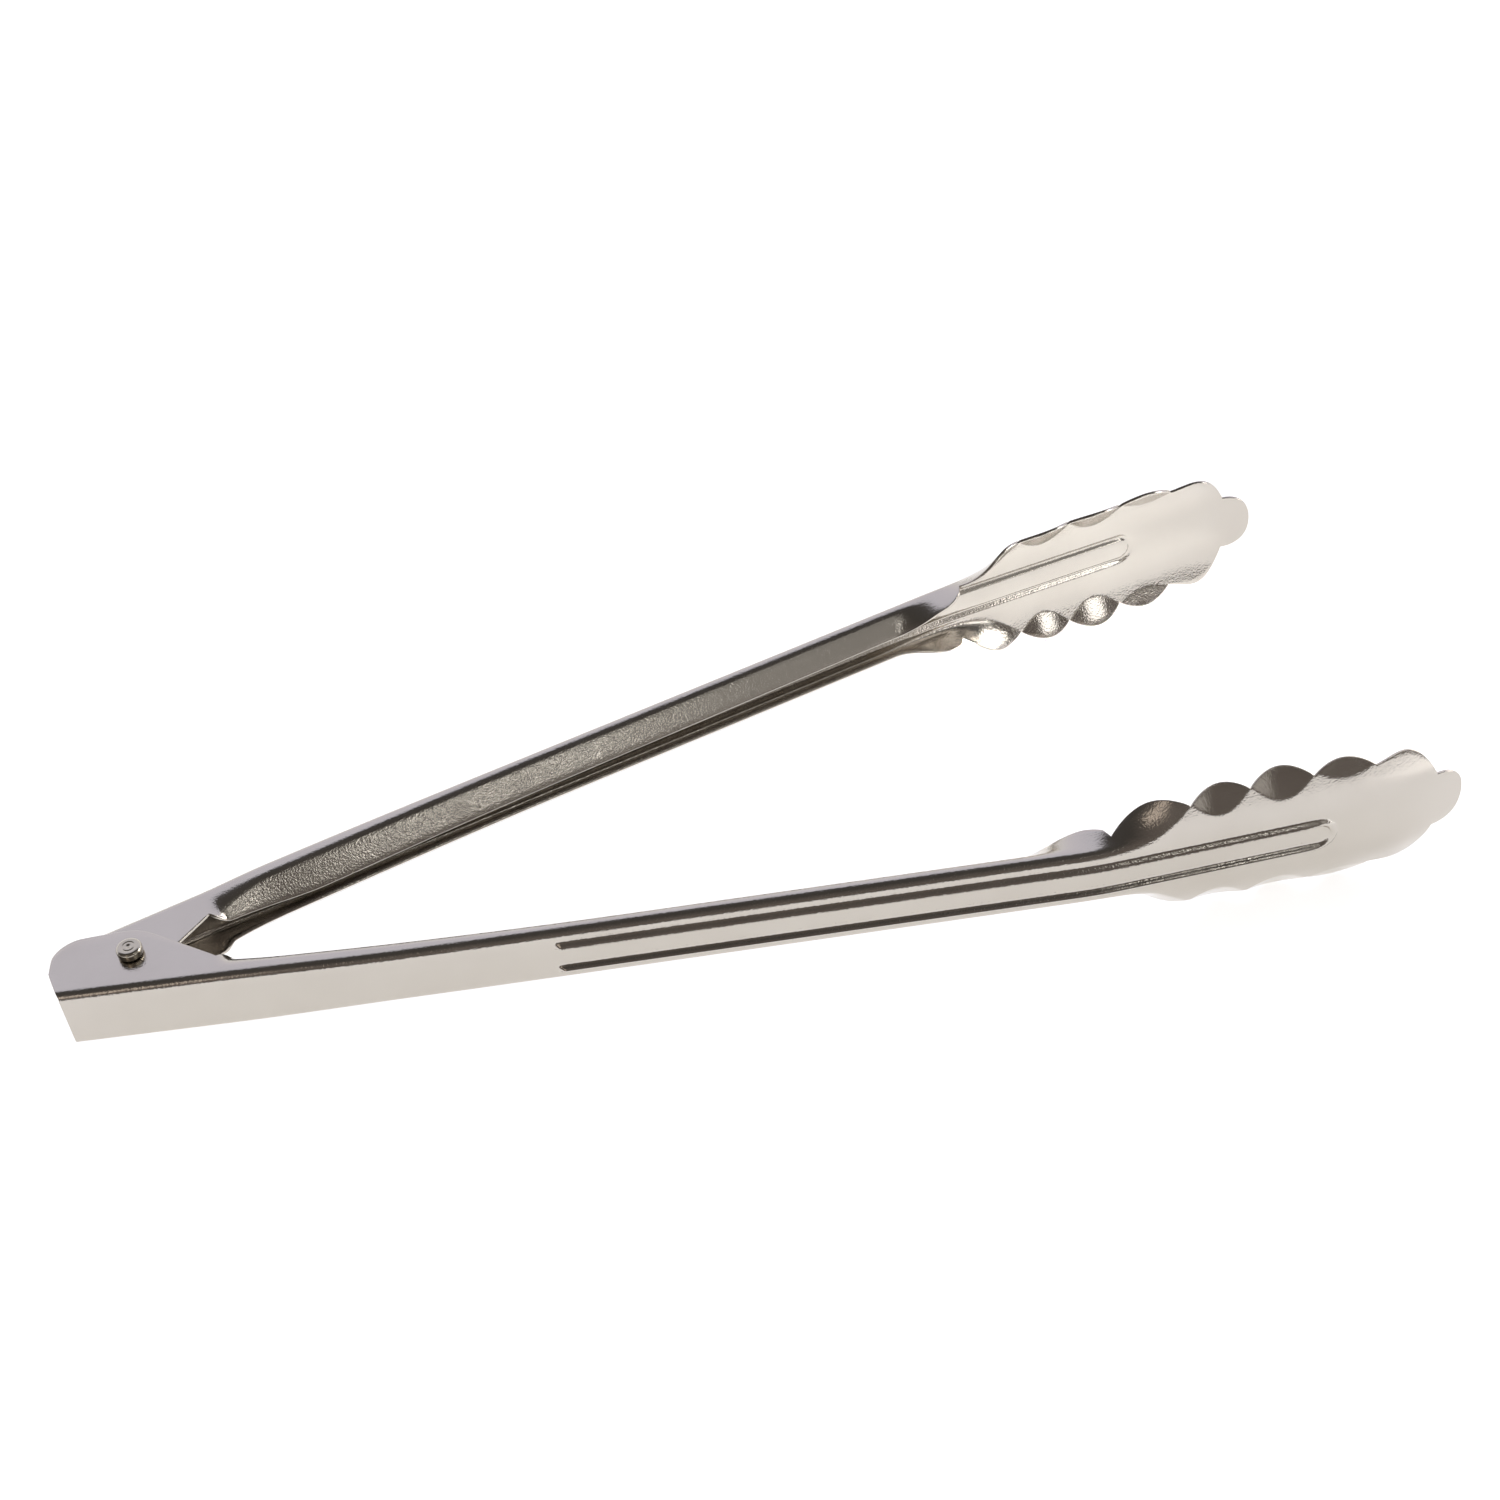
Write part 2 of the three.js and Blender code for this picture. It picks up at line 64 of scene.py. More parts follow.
BOW = SimpleNamespace(start=10, end=90, turn=math.radians(1.4))
NECK_SET = SimpleNamespace(start=199, end=213, turn=math.radians(5.1))
TIP_CURL = SimpleNamespace(start=258, radius=103)

OUTER = SimpleNamespace(
    side=-1,
    half_width=7.7,
    rivet_depth=10.2,
    web_rear=-14.6,
    ear_rear=-17.4,
    ear_depth=17.3,
    ear_shoulder=10.6,
    notch_depth=6.8,
    taper_end=60,
    mouth_bend=2.0,
)
INNER = SimpleNamespace(
    side=1,
    half_width=6.6,
    rivet_depth=11.3,
    web_rear=-8.6,
    ear_rear=-9.6,
    ear_depth=17.1,
    ear_shoulder=12.2,
    notch_depth=8.2,
    taper_end=34,
    mouth_bend=4.5,
)
EAR = SimpleNamespace(
    corner_length=4.6,
    top_fall=0.008,
    top_at=-1,
    top_end=1.4,
    notch=18.4,
    roundness=1.6,
    lean_depth=7,
    lean_length=9,
)
TAPER_START = 18

LIP = SimpleNamespace(
    start=22,
    end=190,
    turn=math.radians(47),
    turn_start=17.5,
    turn_end=205,
    bend_length=1.9,
    mouth_end=35,
    depth_near=3.3,
    depth_far=2.1,
    depth_change=(25, 105),
    length_start=7.2,
    length_near=8.5,
    length_far=6.8,
    length_settled=45,
)
NECK = SimpleNamespace(bulge=203, bulge_depth=8.5, end=208.4, end_depth=6.6, notch=209.6)

RIB = SimpleNamespace(
    crest=3.3,
    inner_foot=1.0,
    outer_foot=1.5,
    height=1.15,
    groove=0.7,
    start=88.9,
    end=257.5,
    run_out=2.5,
    fade=0.45,
    fade_start=251,
)

HEAD = SimpleNamespace(
    open_start=203,
    open_end=224,
    floor_half_width=4.5,
    rim_at=12.5,
    rim_turn=math.radians(20),
    petal_bend=1.0,
    lobe_roundness=0.8,
    tip_roundness=2.3,
)
VALLEY_AT = np.array([NECK.notch, 226.4, 239.5, 253.5, 267.4, 281.8])
VALLEY_REACH = np.array([10.8, 14.3, 15.5, 15.4, 14.8, 7.6])
LOBE_RISE = np.array([3.65, 3.0, 3.5, 3.1, 5.2])
LOBE_SKEW = np.array([1.05, 1, 1, 1, 1.4])
LOBE_FOLD = np.array([4.6, 4.5, 4.5, 2.0, 1.6])
LOBE_TURN = np.radians([14, 14, 14, 9, 0])

RIVET = SimpleNamespace(shank=2.0, clearance=0.3, head=2.8, flat=2.0, height=2.4, lift=0.3)
SPRING = SimpleNamespace(
    wire=0.7,
    coil=5.0,
    turns=4,
    pitch=1.75,
    leg_reach=26,
    leg_gap=0.35,
    steps_a_turn=48,
    leg_steps=16,
)

RIVET_MIDDLE = OUTER.half_width + RIVET.height  # height of the rivet's middle above its lower flat

# ---------------------------------------------------------------- camera, in metres and degrees
AIM = Vector((0.1426, 0.0190, 0.0101))
CAMERA_AZIMUTH = 11.6
CAMERA_ELEVATION = 42.1
CAMERA_DISTANCE = 0.5529
CAMERA_ROLL = 7.4
LENS = 57.96


# ---------------------------------------------------------------- small helpers
def ramp(x, start, end):
    return np.clip((x - start) / (end - start), 0.0, 1.0)


def smooth(x, start, end):
    t = ramp(x, start, end)
    return t * t * (3 - 2 * t)


def mix(a, b, t):
    return a + (b - a) * t


def rounded_min(a, b, width):
    """Smaller of two values with the crossing rounded over the given width."""
    h = np.clip(0.5 + 0.5 * (b - a) / width, 0.0, 1.0)
    return mix(b, a, h) - width * h * (1 - h)


# ---------------------------------------------------------------- the line each web follows
def path_angle(s):
    curl = np.maximum(0, s - TIP_CURL.start) / TIP_CURL.radius
    bow = BOW.turn * smooth(s, BOW.start, BOW.end)
    return bow + NECK_SET.turn * smooth(s, NECK_SET.start, NECK_SET.end) + curl


PATH_STEP = 0.25
PATH_BEHIND = 30
PATH_BEYOND = 4
PATH_S = np.arange(-PATH_BEHIND, TIP + PATH_BEYOND, PATH_STEP)
STEP_ANGLE = path_angle(PATH_S + PATH_STEP / 2)
PATH_ALONG = np.concatenate([[0], np.cumsum(PATH_STEP * np.cos(STEP_ANGLE))])[:-1]
PATH_INWARD = np.concatenate([[0], np.cumsum(PATH_STEP * np.sin(STEP_ANGLE))])[:-1]
PATH_ALONG -= np.interp(0, PATH_S, PATH_ALONG)


def path_point(s):
    return np.interp(s, PATH_S, PATH_ALONG), np.interp(s, PATH_S, PATH_INWARD)


# ---------------------------------------------------------------- shape of the flat blank
def half_width(arm, s):
    return mix(arm.half_width, HANDLE_HALF_WIDTH, smooth(s, TAPER_START, arm.taper_end))


def reach_at_depth(arm, s, depth):
    """Distance across the flat blank that lands at a given flange depth once the corner is bent."""
    return half_width(arm, s) + depth - CORNER_RADIUS * (2 - math.pi / 2)


def lip_depth(s):
    return mix(LIP.depth_near, LIP.depth_far, smooth(s, *LIP.depth_change))


def lip_bend(arm, s):
    """Length of the bend into the lip; the bend is wide and round where the lip begins."""
    mouth = 1 - ramp(s, EAR.notch, LIP.mouth_end)
    return LIP.bend_length + arm.mouth_bend * mouth**2


def ear_reach(arm, s):
    slope = (arm.ear_depth - arm.notch_depth) / (EAR.notch - EAR.top_end)
    top = arm.ear_depth - EAR.top_fall * (s - EAR.top_at) ** 2
    front = arm.ear_depth - slope * (s - EAR.top_end)
    full = rounded_min(top, front, EAR.roundness)
    corner_end = arm.web_rear + EAR.corner_length
    back = np.clip((corner_end - s) / EAR.corner_length, 0, 1)
    depth = mix(np.minimum(arm.ear_shoulder, full), full, np.sqrt(1 - back**2))
    return reach_at_depth(arm, s, depth)


def lip_reach(arm, s):
    bend = reach_at_depth(arm, s, lip_depth(s))
    along = mix(LIP.length_near, LIP.length_far, ramp(s, LIP.length_settled, LIP.end))
    lip = mix(LIP.length_start, along, smooth(s, LIP.start, LIP.length_settled))
    bulge = reach_at_depth(arm, s, NECK.bulge_depth) - bend
    return bend + mix(lip, bulge, smooth(s, LIP.end, NECK.bulge))


def notch_reach(arm, s):
    bend = reach_at_depth(arm, s, lip_depth(s))
    foot = reach_at_depth(arm, s, arm.notch_depth)
    return mix(foot, bend + LIP.length_start, ramp(s, EAR.notch, LIP.start))


def neck_reach(arm, s):
    t = ramp(s, NECK.bulge, NECK.end)
    side = reach_at_depth(arm, s, mix(NECK.bulge_depth, NECK.end_depth, t * t))
    return mix(side, VALLEY_REACH[0], ramp(s, NECK.end, NECK.notch))


def lobe_at(s):
    """How many lobes end before a station, which lobe it falls in, and how far along that lobe it is."""
    index = np.searchsorted(VALLEY_AT[1:], s, side="right")
    lobe = np.minimum(index, len(LOBE_RISE) - 1)
    return index, lobe, ramp(s, VALLEY_AT[lobe], VALLEY_AT[lobe + 1])


def head_reach(s):
    index, lobe, phase = lobe_at(s)
    chord = mix(VALLEY_REACH[lobe], VALLEY_REACH[lobe + 1], phase)
    side = chord + LOBE_RISE[lobe] * np.sin(math.pi * phase ** LOBE_SKEW[lobe]) ** HEAD.lobe_roundness
    t = ramp(s, VALLEY_AT[-1], TIP)
    tip = VALLEY_REACH[-1] * np.maximum(0, 1 - t**HEAD.tip_roundness) ** (1 / HEAD.tip_roundness)
    return np.where(index == len(LOBE_RISE), tip, side)


def fold_reach(s):
    """Where the petal fold runs across the blank."""
    s = np.maximum(s, NECK.notch)
    index, lobe, phase = lobe_at(s)
    chord = mix(VALLEY_REACH[lobe], VALLEY_REACH[lobe + 1], phase)
    side = chord - LOBE_FOLD[lobe] * np.sin(math.pi * phase)
    return np.where(index == len(LOBE_RISE), head_reach(s), side)


def blank_reach(arm, s):
    """Half width of the flat blank at a station, from the ears to the tip lobe."""
    zones = [s <= EAR.notch, s <= LIP.start, s <= NECK.bulge, s <= NECK.notch]
    shapes = [ear_reach(arm, s), notch_reach(arm, s), lip_reach(arm, s), neck_reach(arm, s)]
    return np.select(zones, shapes, head_reach(s))


# ---------------------------------------------------------------- bent cross-section
def section_angle(arm, s, across):
    """Direction of the sheet at a distance across the blank: 0 is the web, a quarter turn is the flange."""
    corner_start = half_width(arm, s) - CORNER_RADIUS
    corner = math.pi / 2 * ramp(across, corner_start, corner_start + CORNER_RADIUS * math.pi / 2)
    lip_start = reach_at_depth(arm, s, lip_depth(s))
    lip_amount = smooth(s, LIP.turn_start, LIP.start) * (1 - smooth(s, LIP.end, LIP.turn_end))
    lip = LIP.turn * lip_amount * ramp(across, lip_start, lip_start + lip_bend(arm, s))
    rim = HEAD.rim_turn * ramp(across, HEAD.floor_half_width, HEAD.rim_at)
    fold = fold_reach(s)
    petal = LOBE_TURN[lobe_at(s)[1]] * ramp(across, fold, fold + HEAD.petal_bend)
    return mix(corner + lip, rim + petal, smooth(s, HEAD.open_start, HEAD.open_end))


def rib_height(s, across):
    """Height of the ribs, two straight runs that join in a half circle near the tip."""
    past = np.maximum(0, s - (RIB.end - RIB.crest))
    away = np.hypot(past, across) - RIB.crest
    share = np.clip(np.where(away > 0, away / RIB.outer_foot, -away / RIB.inner_foot), 0, 1)
    rise = smooth(s, RIB.start, RIB.start + RIB.run_out)
    fade = 1 - RIB.fade * smooth(s, RIB.fade_start, RIB.end)
    return RIB.height * rise * fade * 0.5 * (1 + np.cos(math.pi * share))


SECTION_STEPS = 90
NORMAL_NUDGE = 0.05


def outer_face(arm, s, across):
    """Points of the outer face in the arm's own frame: x along the arm, y inward, z across."""
    depth = np.zeros_like(across)
    side = np.zeros_like(across)
    step = across / SECTION_STEPS
    for i in range(SECTION_STEPS):
        angle = section_angle(arm, s, (i + 0.5) * step)
        depth += step * np.sin(angle)
        side += step * np.cos(angle)
    along, inward = path_point(s)
    angle = path_angle(s)
    return np.stack([along - depth * np.sin(angle), inward + depth * np.cos(angle), side], axis=-1)


def outer_normal(arm, s, across):
    along = outer_face(arm, s + NORMAL_NUDGE, across) - outer_face(arm, s - NORMAL_NUDGE, across)
    before = outer_face(arm, s, np.abs(across - NORMAL_NUDGE))
    before[..., 2] *= np.where(across < NORMAL_NUDGE, -1, 1)  # the nudge went past the centre line
    over = outer_face(arm, s, across + NORMAL_NUDGE) - before
    normal = np.cross(along, over)
    return normal / np.linalg.norm(normal, axis=-1, keepdims=True)


def place(arm, points):
    """Places points of the arm frame into the open pose, in the row's frame."""
    x = points[..., 0]
    y = (points[..., 1] - arm.rivet_depth) * -arm.side
    angle = HALF_OPENING * arm.side
    turned_x = x * math.cos(angle) - y * math.sin(angle)
    turned_y = x * math.sin(angle) + y * math.cos(angle)
    return np.stack([turned_x, turned_y, points[..., 2] + RIVET_MIDDLE], axis=-1)


# ---------------------------------------------------------------- arm mesh
EDGE_ROUND = 0.22  # how far in from a sheared edge its rounding starts
EDGE_FLAT = 0.5  # share of the sheet's thickness that is left at the edge
EDGE_PLACES = np.array([1.0, 0.55, 0.22, 0.0])
EDGE_SHARE = 0.02  # the rounding takes no more than this share of a narrow blank
TIP_CRISPNESS = 3  # how many times shorter the edge rounding is at the very tip

FINE_END = 30  # the lip's beginning is meshed finely up to here
STATION_RUNS = [  # stretches of an arm and how far apart their stations are
    (EAR.notch, FINE_END, 0.35),
    (FINE_END, RIB.start - 1, 1.5),
    (RIB.start - 1, RIB.start + 5, 0.25),
    (RIB.start + 5, LIP.end, 2.5),
    (LIP.end, NECK.bulge, 0.7),
    (NECK.bulge, NECK.end, 0.3),
    (NECK.end, NECK.notch, 0.1),
    (RIB.end - RIB.crest - 1, RIB.end + RIB.outer_foot + 1, 0.2),
]
EAR_SPACING = 0.6
SMALLEST_SPACING = 0.02
CORNER_STATIONS = 16
LOBE_STATIONS = 33
LOBE_GATHER = 0.7  # how strongly a lobe's stations are gathered at the notches
TIP_STATIONS = 22
TIP_SHARE = 0.9995  # the last station stops just short of the tip, where the blank still has a width


def spaced(start, end, step):
    return np.linspace(start, end, max(2, int(math.ceil((end - start) / step)) + 1))


def arm_stations(arm):
    """Stations along an arm: close together round corners, notches, rib ends and lobes."""
    rear = arm.web_rear + EDGE_ROUND * (1 - EDGE_PLACES)
    corner = arm.web_rear + EAR.corner_length * (1 - np.cos(np.linspace(0, math.pi / 2, CORNER_STATIONS)))
    rows = [rear, corner, spaced(corner[-1], EAR.notch, EAR_SPACING)]
    rows += [spaced(start, end, step) for start, end, step in STATION_RUNS]
    for start, end in zip(VALLEY_AT[:-1], VALLEY_AT[1:]):
        phase = np.linspace(0, 1, LOBE_STATIONS)
        phase = phase - np.sin(2 * math.pi * phase) / (2 * math.pi) * LOBE_GATHER
        rows.append(mix(start, end, phase))
    tip = np.sin(np.linspace(0, math.pi / 2, TIP_STATIONS)) * TIP_SHARE
    rows.append(mix(VALLEY_AT[-1], TIP, tip))
    merged = np.unique(np.round(np.concatenate(rows), 4))
    keep = np.concatenate([[True], np.diff(merged) > SMALLEST_SPACING])
    return merged[keep]


RIM_SHARES = (0.15, 0.4, 0.65)
KNOT_PIECES = [4, 4, 5, 5, 5, 4, 4, 3, 4]  # columns from each knot of a section to the next
KNOT_SPREAD = 0.06  # least share of the reach that a knot keeps from the edge, for each knot outside it
KNOT_CROWDING = 0.3  # lower lets knots crowd towards the edge of a narrow section


def section_columns(arm, s):
    """Places across the half blank, one row for each station.

    Knots sit where the section bends: at the ribs, corner and lip of the handle, which turn into the
    ribs, rim and petal fold of the head.  The columns are spread evenly between one knot and the next.
    """
    reach = blank_reach(arm, s)
    corner_start = half_width(arm, s) - CORNER_RADIUS
    corner_end = corner_start + CORNER_RADIUS * math.pi / 2
    lip_start = reach_at_depth(arm, s, lip_depth(s))
    fold = fold_reach(s)
    rib_places = [RIB.crest - RIB.inner_foot, RIB.crest, RIB.crest + RIB.outer_foot]
    rim_places = [mix(HEAD.floor_half_width, HEAD.rim_at, share) for share in RIM_SHARES]
    ribs = [np.full_like(s, at) for at in rib_places]
    rims = [np.full_like(s, at) for at in rim_places]
    handle = ribs + [corner_start, (corner_start + corner_end) / 2, corner_end, lip_start]
    handle.append(lip_start + lip_bend(arm, s))
    head = ribs + rims + [fold, fold + HEAD.petal_bend]
    opened = smooth(s, HEAD.open_start, (HEAD.open_start + HEAD.open_end) / 2)
    knots = [np.zeros_like(s)]
    for i, (a, b) in enumerate(zip(handle, head)):
        outermost = reach * (1 - KNOT_SPREAD * (len(handle) - i))
        knots.append(np.minimum(mix(a, b, opened), outermost))
    edge = np.minimum(EDGE_ROUND, EDGE_SHARE * reach)
    knots.append(reach - edge)
    for i in range(len(knots) - 2, 0, -1):
        knots[i] = np.minimum(knots[i], knots[i + 1] * (i / (i + 1)) ** KNOT_CROWDING)
    columns = [knots[0]]
    for i, pieces in enumerate(KNOT_PIECES):
        for j in range(1, pieces + 1):
            columns.append(mix(knots[i], knots[i + 1], j / pieces))
    for inset in EDGE_PLACES[1:]:
        columns.append(reach - edge * inset)
    return np.stack(columns, axis=1)


def rear_lean(arm, s, across):
    """The rear edge leans back from the web to the ear, and the lean dies out ahead of the corner."""
    depth = across - reach_at_depth(arm, s, 0)
    lean = (arm.web_rear - arm.ear_rear) * ramp(depth, 0, EAR.lean_depth)
    return -lean * (1 - ramp(s, arm.web_rear, arm.web_rear + EAR.lean_length))


def edge_thinning(arm, s, across):
    """How far each face is drawn in near the sheared edge, as a share of half the sheet's thickness."""
    reach = blank_reach(arm, s)
    slope = np.gradient(reach[:, 0], s[:, 0])[:, None]
    side = (reach - across) / np.sqrt(1 + slope**2)
    ends = np.minimum(s - arm.web_rear, (TIP - s) * TIP_CRISPNESS)
    inside = np.clip(np.minimum(side, ends) / EDGE_ROUND, 0, 1)
    return (1 - EDGE_FLAT) * (1 - np.sqrt(1 - (1 - inside) ** 2))


def arm_faces(arm):
    """Grids of points on the outer and inner faces, from one edge of the blank to the other."""
    stations = arm_stations(arm)
    across = section_columns(arm, stations)
    s = np.repeat(stations[:, None], across.shape[1], axis=1)
    leaned = s + rear_lean(arm, s, across)
    face = outer_face(arm, leaned, across)
    normal = outer_normal(arm, leaned, across)
    thin = edge_thinning(arm, s, across) * SHEET / 2
    height = rib_height(s, across)
    outer = face + normal * (height - thin)[..., None]
    inner = face + normal * (height * RIB.groove - SHEET + thin)[..., None]
    return mirrored(place(arm, outer)), mirrored(place(arm, inner))


def mirrored(grid):
    """Adds the other half of the section, reflected in the plane through the rivet's middle."""
    other = grid[:, :0:-1].copy()
    other[..., 2] = 2 * RIVET_MIDDLE - other[..., 2]
    return np.concatenate([other, grid], axis=1)


def closed_sheet(outer, inner):
    """Vertices and faces of the solid between two matching grids."""
    rows, columns = outer.shape[:2]
    points = np.concatenate([outer.reshape(-1, 3), inner.reshape(-1, 3)])
    top = np.arange(rows * columns).reshape(rows, columns)
    low = top + rows * columns
    a, b, c, d = top[:-1, :-1], top[:-1, 1:], top[1:, 1:], top[1:, :-1]
    faces = [np.stack([a, b, c, d], -1).reshape(-1, 4)]
    a, b, c, d = low[:-1, :-1], low[1:, :-1], low[1:, 1:], low[:-1, 1:]
    faces.append(np.stack([a, b, c, d], -1).reshape(-1, 4))
    faces.append(np.stack([top[:-1, 0], top[1:, 0], low[1:, 0], low[:-1, 0]], -1))
    faces.append(np.stack([top[:-1, -1], low[:-1, -1], low[1:, -1], top[1:, -1]], -1))
    faces.append(np.stack([top[0, :-1], low[0, :-1], low[0, 1:], top[0, 1:]], -1))
    faces.append(np.stack([top[-1, :-1], top[-1, 1:], low[-1, 1:], low[-1, :-1]], -1))
    return points, np.concatenate(faces)


# ---------------------------------------------------------------- meshes
def signed_volume(points, faces):
    a, b, c, d = (points[faces[:, i]] for i in range(4))
    first = np.einsum("ij,ij->i", a, np.cross(b, c))
    second = np.einsum("ij,ij->i", a, np.cross(c, d))
    return (first + second).sum() / 6


def make_piece(name, points, faces, sharp_angle=SHARP_ANGLE):
    """Object in metres from millimetre points and four-cornered faces, smooth except at sharp edges."""
    if signed_volume(points, faces) < 0:
        faces = faces[:, ::-1]
    mesh = bpy.data.meshes.new(name)
    mesh.from_pydata((points * MILLIMETRE).tolist(), [], faces.tolist())
    mesh.validate()
    mesh.polygons.foreach_set("use_smooth", [True] * len(mesh.polygons))
    mesh.set_sharp_from_angle(angle=math.radians(sharp_angle))
    mesh.update()
    made = bpy.data.objects.new(name, mesh)
    bpy.context.scene.collection.objects.link(made)
    return made


def swept_rings(rings):
    """Faces joining each ring to the next; the first and last rings are almost points and stay open."""
    count, around = rings.shape[:2]
    index = np.arange(count * around).reshape(count, around)
    following = np.roll(index, -1, axis=1)
    return np.stack([index[:-1], following[:-1], following[1:], index[1:]], -1).reshape(-1, 4)


ALMOST_NOTHING = 1e-4


def turned(profile, segments=96):
    """Points and faces of a solid turned about the rivet's axis from (radius, height) pairs."""
    turn = np.linspace(0, 2 * math.pi, segments, endpoint=False)
    profile = np.array(profile, float)
    radius = np.maximum(profile[:, :1], ALMOST_NOTHING)
    height = np.repeat(profile[:, 1:], segments, axis=1)
    rings = np.stack([radius * np.cos(turn), radius * np.sin(turn), height], axis=-1)
    return rings.reshape(-1, 3), swept_rings(rings)


def drill(target, radius, reach=60):
    """Cuts a round hole along the rivet's axis through a piece."""
    points, faces = turned([(0, -reach), (radius, -reach), (radius, reach), (0, reach)], 64)
    tool = make_piece("drill", points, faces)
    cut = target.modifiers.new("bore", "BOOLEAN")
    cut.operation = "DIFFERENCE"
    cut.solver = "EXACT"
    cut.object = tool
    depsgraph = bpy.context.evaluated_depsgraph_get()
    mesh = bpy.data.meshes.new_from_object(target.evaluated_get(depsgraph))
    target.modifiers.clear()
    target.data = mesh
    bpy.data.objects.remove(tool)
    mesh.set_sharp_from_angle(angle=math.radians(SHARP_ANGLE))


def build_arm(name, arm):
    points, faces = closed_sheet(*arm_faces(arm))
    made = make_piece(name, points, faces)
    drill(made, RIVET.shank + RIVET.clearance)
    return made


# ---------------------------------------------------------------- rivet and spring
RIVET_EDGE_ROUND = 0.3
RING_MARK = [(1.5, 0.0), (1.4, 0.03), (1.3, 0.09), (1.2, 0.03), (1.1, 0.0)]  # radius and depth in the flat
CENTRE_MARK = [(0.5, 0.01), (0.35, 0.12), (0.0, 0.16)]
WIRE_END_RINGS = 6
WIRE_END_LENGTH = 0.5  # length of a rounded end, as a share of the wire's radius
WIRE_END_SIZE = 0.02  # size of the last ring, as a share of the wire's radius


def arc(centre, radius, start, end, count):
    angles = np.radians(np.linspace(start, end, count))
    return [(centre[0] + radius * math.cos(a), centre[1] + radius * math.sin(a)) for a in angles]


def build_rivet(name):
    seat = OUTER.half_width + RIVET.lift
    top = OUTER.half_width + RIVET.height
    shoulder = RIVET.head - RIVET.flat
    edge = (RIVET.head - RIVET_EDGE_ROUND, seat + RIVET_EDGE_ROUND)
    upper = [(RIVET.shank, seat)]
    upper += arc(edge, RIVET_EDGE_ROUND, -90, 0, 6)
    upper += arc((RIVET.flat, top - shoulder), shoulder, 0, 84, 14)
    upper += [(radius, top - depth) for radius, depth in RING_MARK + CENTRE_MARK]
    lower = [(radius, -height) for radius, height in reversed(upper)]
    points, faces = turned(lower + upper)
    points[:, 2] += RIVET_MIDDLE
    return make_piece(name, points, faces, sharp_angle=50)


def leg_rest(arm):
    """Point where a spring leg's end rests against the inside of a web."""
    inward = path_point(SPRING.leg_reach)[1] + SHEET + SPRING.leg_gap + SPRING.wire
    return place(arm, np.array([SPRING.leg_reach, inward, 0.0]))


def tangent_angle(end, side):
    return math.atan2(end[1], end[0]) + side * math.acos(SPRING.coil / math.hypot(end[0], end[1]))


def spring_line():
    """Centre line of the spring, in along one web, round the rivet and out along the other, and its rise."""
    first = leg_rest(OUTER)
    last = leg_rest(INNER)
    start = tangent_angle(first, -1)
    finish = tangent_angle(last, 1)
    wrap = SPRING.turns * 2 * math.pi + (2 * math.pi - (finish - start))
    rise = SPRING.pitch * wrap / (2 * math.pi)
    t = np.linspace(0, 1, int(SPRING.steps_a_turn * wrap / (2 * math.pi)))
    angle = start - wrap * t
    coil = np.stack([SPRING.coil * np.cos(angle), SPRING.coil * np.sin(angle), rise * (t - 0.5)], axis=1)
    first[2] = -rise / 2
    last[2] = rise / 2
    leg_steps = np.linspace(0, 1, SPRING.leg_steps, endpoint=False)[:, None]
    leg_in = mix(first, coil[0], leg_steps)
    leg_out = mix(last, coil[-1], leg_steps)[::-1]
    line = np.concatenate([leg_in, coil, leg_out])
    line[:, 2] += RIVET_MIDDLE
    return line, rise


def tube(line, radius, around=20):
    """Round wire along a line, with rounded ends."""
    ahead = np.gradient(line, axis=0)
    ahead /= np.linalg.norm(ahead, axis=1, keepdims=True)
    side = np.cross(ahead, (0.0, 0.0, 1.0))
    side /= np.linalg.norm(side, axis=1, keepdims=True)
    top = np.cross(side, ahead)
    cap = np.linspace(0, math.pi / 2, WIRE_END_RINGS, endpoint=False)
    cap_sizes = radius * np.maximum(np.sin(cap), WIRE_END_SIZE)
    beyond = radius * WIRE_END_LENGTH * np.cos(cap)[:, None]
    centres = np.concatenate([line[0] - ahead[0] * beyond, line, line[-1] + ahead[-1] * beyond[::-1]])
    sizes = np.concatenate([cap_sizes, np.full(len(line), radius), cap_sizes[::-1]])
    cap_rows = ((WIRE_END_RINGS, WIRE_END_RINGS), (0, 0))
    side = np.pad(side, cap_rows, mode="edge")
    top = np.pad(top, cap_rows, mode="edge")
    turn = np.linspace(0, 2 * math.pi, around, endpoint=False)
    offset = side[:, None] * np.cos(turn)[:, None] + top[:, None] * np.sin(turn)[:, None]
    rings = centres[:, None] + offset * sizes[:, None, None]
    return rings.reshape(-1, 3), swept_rings(rings)


# ---------------------------------------------------------------- materials
PATCH_SCALE = 60  # noise scales count features to the metre
SMUDGE_SCALE = 140
GRAIN_SCALE = 2200
NOISE_ROUGHNESS = 0.55
NOISE_MIDDLE = (0.3, 0.7)
ROUGHNESS_SHARES = (0.75, 1.3)  # how far a steel's roughness drifts either side of its own value

STAMPED_STEEL = SimpleNamespace(
    light=(0.60, 0.565, 0.515), dark=(0.53, 0.49, 0.44), roughness=0.17, grain_depth=0.045
)
RIVET_STEEL = SimpleNamespace(
    light=(0.60, 0.56, 0.48), dark=(0.50, 0.46, 0.38), roughness=0.2, grain_depth=0.001
)
SPRING_STEEL = SimpleNamespace(
    light=(0.55, 0.54, 0.52), dark=(0.42, 0.41, 0.40), roughness=0.25, grain_depth=0.001
)


def node_material(name):
    material = bpy.data.materials.new(name)
    material.use_nodes = True
    nodes = material.node_tree.nodes
    shader = nodes["Principled BSDF"]
    return material, nodes, material.node_tree.links, shader


